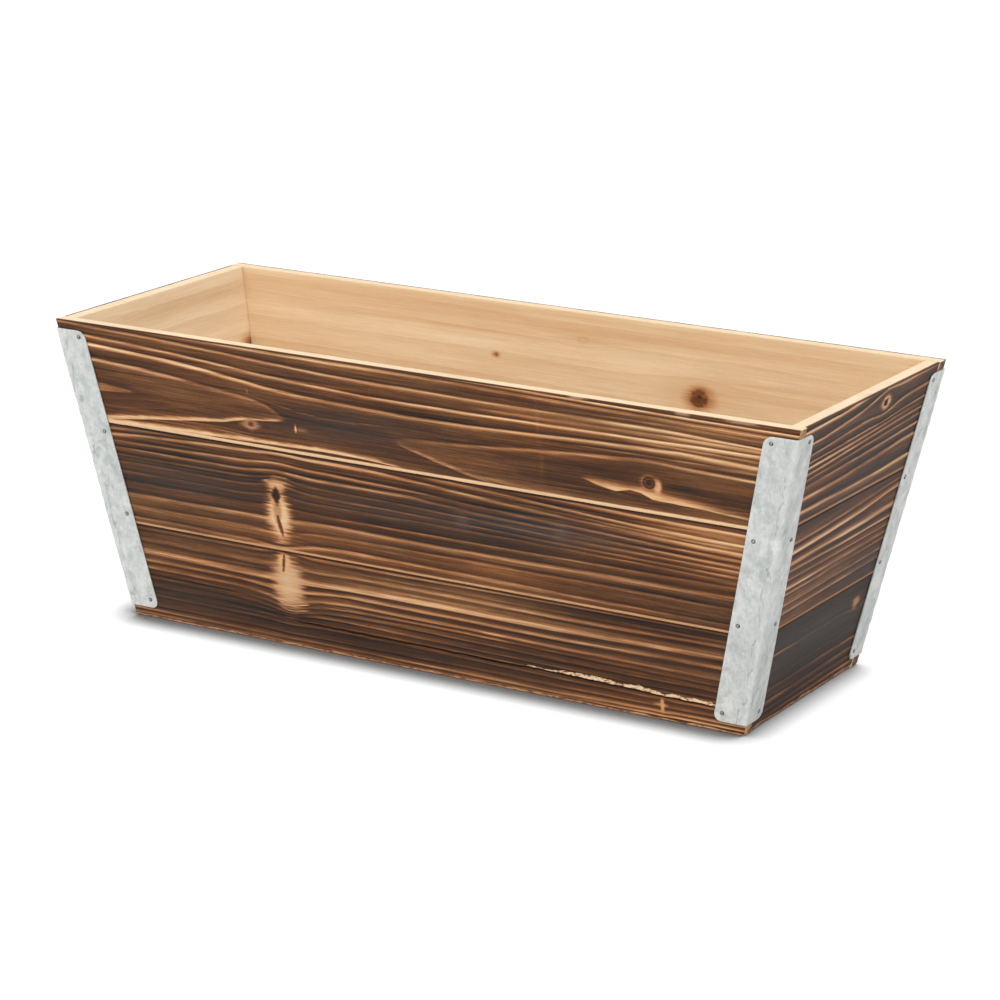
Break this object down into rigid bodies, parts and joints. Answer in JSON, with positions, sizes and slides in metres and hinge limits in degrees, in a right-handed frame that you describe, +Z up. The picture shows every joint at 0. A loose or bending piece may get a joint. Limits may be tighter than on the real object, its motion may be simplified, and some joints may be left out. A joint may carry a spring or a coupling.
{
  "type": "window box planter",
  "caption": "Long flared wooden planter box with charred plank walls, a slatted base and nailed sheet-metal corner strips.",
  "frame": {"origin": "on the ground under the middle of the box", "axes": "+X along the length to the viewer's right, -Y out of the front wall, +Z up"},
  "size_m": [0.5, 0.1948, 0.1875],
  "materials": {
    "charred_wood": "charred and brushed outside, plain inside",
    "plain_pine": "sawn and unfinished",
    "galvanised_sheet": "galvanised, dull and mottled",
    "nail_steel": "plain",
    "brad_steel": "blackened"
  },
  "bodies": {
    "root": {"front_board_1": "charred_wood", "front_board_2": "charred_wood", "front_board_3": "charred_wood", "back_board_1": "charred_wood", "back_board_2": "charred_wood", "back_board_3": "charred_wood", "right_end_board_1": "charred_wood", "right_end_board_2": "charred_wood", "right_end_board_3": "charred_wood", "left_end_board_1": "charred_wood", "left_end_board_2": "charred_wood", "left_end_board_3": "charred_wood", "base_board_front": "plain_pine", "base_board_back": "plain_pine", "base_brad_front_1": "brad_steel", "base_brad_front_2": "brad_steel", "base_brad_front_3": "brad_steel", "base_brad_back_1": "brad_steel", "base_brad_back_2": "brad_steel", "base_brad_back_3": "brad_steel", "corner_strip_front_right": "galvanised_sheet", "corner_strip_front_left": "galvanised_sheet", "corner_strip_back_left": "galvanised_sheet", "corner_strip_back_right": "galvanised_sheet", "nail_front_right_long_1": "nail_steel", "nail_front_right_long_2": "nail_steel", "nail_front_right_long_3": "nail_steel", "nail_front_right_long_4": "nail_steel", "nail_front_right_end_1": "nail_steel", "nail_front_right_end_2": "nail_steel", "nail_front_right_end_3": "nail_steel", "nail_front_right_end_4": "nail_steel", "nail_front_left_long_1": "nail_steel", "nail_front_left_long_2": "nail_steel", "nail_front_left_long_3": "nail_steel", "nail_front_left_long_4": "nail_steel", "nail_front_left_end_1": "nail_steel", "nail_front_left_end_2": "nail_steel", "nail_front_left_end_3": "nail_steel", "nail_front_left_end_4": "nail_steel", "nail_back_left_long_1": "nail_steel", "nail_back_left_long_2": "nail_steel", "nail_back_left_long_3": "nail_steel", "nail_back_left_long_4": "nail_steel", "nail_back_left_end_1": "nail_steel", "nail_back_left_end_2": "nail_steel", "nail_back_left_end_3": "nail_steel", "nail_back_left_end_4": "nail_steel", "nail_back_right_long_1": "nail_steel", "nail_back_right_long_2": "nail_steel", "nail_back_right_long_3": "nail_steel", "nail_back_right_long_4": "nail_steel", "nail_back_right_end_1": "nail_steel", "nail_back_right_end_2": "nail_steel", "nail_back_right_end_3": "nail_steel", "nail_back_right_end_4": "nail_steel"}
  },
  "joints": []
}
